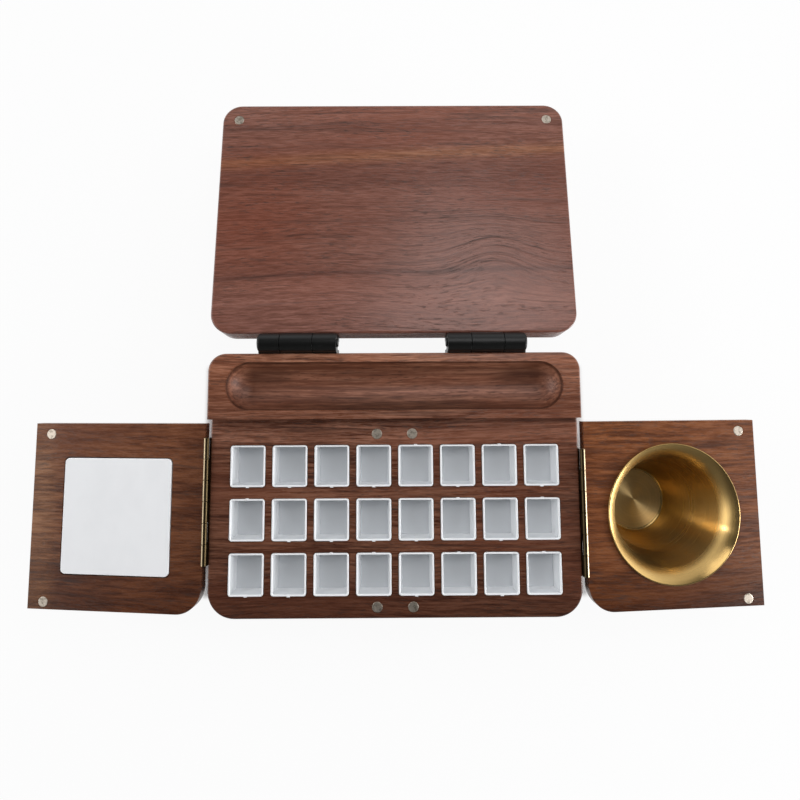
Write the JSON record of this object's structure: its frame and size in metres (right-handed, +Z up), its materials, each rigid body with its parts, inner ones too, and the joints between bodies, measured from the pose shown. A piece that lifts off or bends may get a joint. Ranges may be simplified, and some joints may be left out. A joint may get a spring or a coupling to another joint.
{
  "type": "watercolour palette box",
  "caption": "Open walnut watercolour palette box: a pan deck with a brush groove, a hinged lid, and folding wings with a mixing plate and a brass water cup.",
  "frame": {"origin": "middle of the block's flat underside", "axes": "+X to the cup wing, +Y to the lid, +Z up"},
  "size_m": [0.3454, 0.2466, 0.053],
  "materials": {
    "walnut_base": "oiled satin",
    "walnut_lid": "oiled satin",
    "walnut_wing": "oiled satin",
    "white_plate": "smooth",
    "white_pan": "moulded",
    "brass_cup": "spun and lacquered",
    "brass_hinge": "satin",
    "nickel": "plated",
    "black_metal": "satin black"
  },
  "bodies": {
    "base": {"base": "walnut_base", "deck_magnets": "nickel", "left_lid_hinge_base_leaf": "black_metal", "left_lid_hinge_pin": "black_metal", "right_lid_hinge_base_leaf": "black_metal", "right_lid_hinge_pin": "black_metal", "lid_hinge_base_screws": "black_metal", "left_wing_hinge_base_leaf": "brass_hinge", "left_wing_hinge_pin": "brass_hinge", "left_wing_hinge_base_screws": "brass_hinge", "right_wing_hinge_base_leaf": "brass_hinge", "right_wing_hinge_pin": "brass_hinge", "right_wing_hinge_base_screws": "brass_hinge"},
    "lid": {"lid": "walnut_lid", "lid_magnets": "nickel", "left_lid_hinge_lid_leaf": "black_metal", "right_lid_hinge_lid_leaf": "black_metal", "lid_hinge_lid_screws": "black_metal"},
    "left_wing": {"left_wing": "walnut_wing", "left_wing_magnets": "nickel", "left_wing_catch_magnet": "nickel", "mixing_plate": "white_plate", "left_wing_hinge_wing_leaf": "brass_hinge", "left_wing_hinge_wing_screws": "brass_hinge"},
    "right_wing": {"right_wing": "walnut_wing", "right_wing_magnets": "nickel", "right_wing_catch_magnet": "nickel", "right_wing_hinge_wing_leaf": "brass_hinge", "right_wing_hinge_wing_screws": "brass_hinge"},
    "cup": {"cup": "brass_cup"},
    "pan_1": {"pan_1": "white_pan"},
    "pan_2": {"pan_2": "white_pan"},
    "pan_3": {"pan_3": "white_pan"},
    "pan_4": {"pan_4": "white_pan"},
    "pan_5": {"pan_5": "white_pan"},
    "pan_6": {"pan_6": "white_pan"},
    "pan_7": {"pan_7": "white_pan"},
    "pan_8": {"pan_8": "white_pan"},
    "pan_9": {"pan_9": "white_pan"},
    "pan_10": {"pan_10": "white_pan"},
    "pan_11": {"pan_11": "white_pan"},
    "pan_12": {"pan_12": "white_pan"},
    "pan_13": {"pan_13": "white_pan"},
    "pan_14": {"pan_14": "white_pan"},
    "pan_15": {"pan_15": "white_pan"},
    "pan_16": {"pan_16": "white_pan"},
    "pan_17": {"pan_17": "white_pan"},
    "pan_18": {"pan_18": "white_pan"},
    "pan_19": {"pan_19": "white_pan"},
    "pan_20": {"pan_20": "white_pan"},
    "pan_21": {"pan_21": "white_pan"},
    "pan_22": {"pan_22": "white_pan"},
    "pan_23": {"pan_23": "white_pan"},
    "pan_24": {"pan_24": "white_pan"}
  },
  "joints": [
    {"name": "lid_hinge", "type": "hinge", "parent": "base", "child": "lid", "pos_m": [0, 0.0647, 0.04855], "axis": [1, 0, 0], "range_deg": [0, 186.1]},
    {"name": "left_wing_hinge", "type": "hinge", "parent": "base", "child": "left_wing", "pos_m": [-0.08685, 0, 0.04295], "axis": [0, 1, 0], "range_deg": [0, 186.3]},
    {"name": "right_wing_hinge", "type": "hinge", "parent": "base", "child": "right_wing", "pos_m": [0.08685, 0, 0.04295], "axis": [0, -1, 0], "range_deg": [0, 185.2]},
    {"name": "cup_lift", "type": "slide", "parent": "right_wing", "child": "cup", "axis": [0.0906, 0, 0.9959], "range_m": [0, 0.09]},
    {"name": "pan_1_lift", "type": "slide", "parent": "base", "child": "pan_1", "axis": [0, 0, -1], "range_m": [-0.015, 0]},
    {"name": "pan_2_lift", "type": "slide", "parent": "base", "child": "pan_2", "axis": [0, 0, -1], "range_m": [-0.015, 0]},
    {"name": "pan_3_lift", "type": "slide", "parent": "base", "child": "pan_3", "axis": [0, 0, -1], "range_m": [-0.015, 0]},
    {"name": "pan_4_lift", "type": "slide", "parent": "base", "child": "pan_4", "axis": [0, 0, -1], "range_m": [-0.015, 0]},
    {"name": "pan_5_lift", "type": "slide", "parent": "base", "child": "pan_5", "axis": [0, 0, -1], "range_m": [-0.015, 0]},
    {"name": "pan_6_lift", "type": "slide", "parent": "base", "child": "pan_6", "axis": [0, 0, -1], "range_m": [-0.015, 0]},
    {"name": "pan_7_lift", "type": "slide", "parent": "base", "child": "pan_7", "axis": [0, 0, -1], "range_m": [-0.015, 0]},
    {"name": "pan_8_lift", "type": "slide", "parent": "base", "child": "pan_8", "axis": [0, 0, -1], "range_m": [-0.015, 0]},
    {"name": "pan_9_lift", "type": "slide", "parent": "base", "child": "pan_9", "axis": [0, 0, -1], "range_m": [-0.015, 0]},
    {"name": "pan_10_lift", "type": "slide", "parent": "base", "child": "pan_10", "axis": [0, 0, -1], "range_m": [-0.015, 0]},
    {"name": "pan_11_lift", "type": "slide", "parent": "base", "child": "pan_11", "axis": [0, 0, -1], "range_m": [-0.015, 0]},
    {"name": "pan_12_lift", "type": "slide", "parent": "base", "child": "pan_12", "axis": [0, 0, -1], "range_m": [-0.015, 0]},
    {"name": "pan_13_lift", "type": "slide", "parent": "base", "child": "pan_13", "axis": [0, 0, -1], "range_m": [-0.015, 0]},
    {"name": "pan_14_lift", "type": "slide", "parent": "base", "child": "pan_14", "axis": [0, 0, -1], "range_m": [-0.015, 0]},
    {"name": "pan_15_lift", "type": "slide", "parent": "base", "child": "pan_15", "axis": [0, 0, -1], "range_m": [-0.015, 0]},
    {"name": "pan_16_lift", "type": "slide", "parent": "base", "child": "pan_16", "axis": [0, 0, -1], "range_m": [-0.015, 0]},
    {"name": "pan_17_lift", "type": "slide", "parent": "base", "child": "pan_17", "axis": [0, 0, -1], "range_m": [-0.015, 0]},
    {"name": "pan_18_lift", "type": "slide", "parent": "base", "child": "pan_18", "axis": [0, 0, -1], "range_m": [-0.015, 0]},
    {"name": "pan_19_lift", "type": "slide", "parent": "base", "child": "pan_19", "axis": [0, 0, -1], "range_m": [-0.015, 0]},
    {"name": "pan_20_lift", "type": "slide", "parent": "base", "child": "pan_20", "axis": [0, 0, -1], "range_m": [-0.015, 0]},
    {"name": "pan_21_lift", "type": "slide", "parent": "base", "child": "pan_21", "axis": [0, 0, -1], "range_m": [-0.015, 0]},
    {"name": "pan_22_lift", "type": "slide", "parent": "base", "child": "pan_22", "axis": [0, 0, -1], "range_m": [-0.015, 0]},
    {"name": "pan_23_lift", "type": "slide", "parent": "base", "child": "pan_23", "axis": [0, 0, -1], "range_m": [-0.015, 0]},
    {"name": "pan_24_lift", "type": "slide", "parent": "base", "child": "pan_24", "axis": [0, 0, -1], "range_m": [-0.015, 0]}
  ]
}
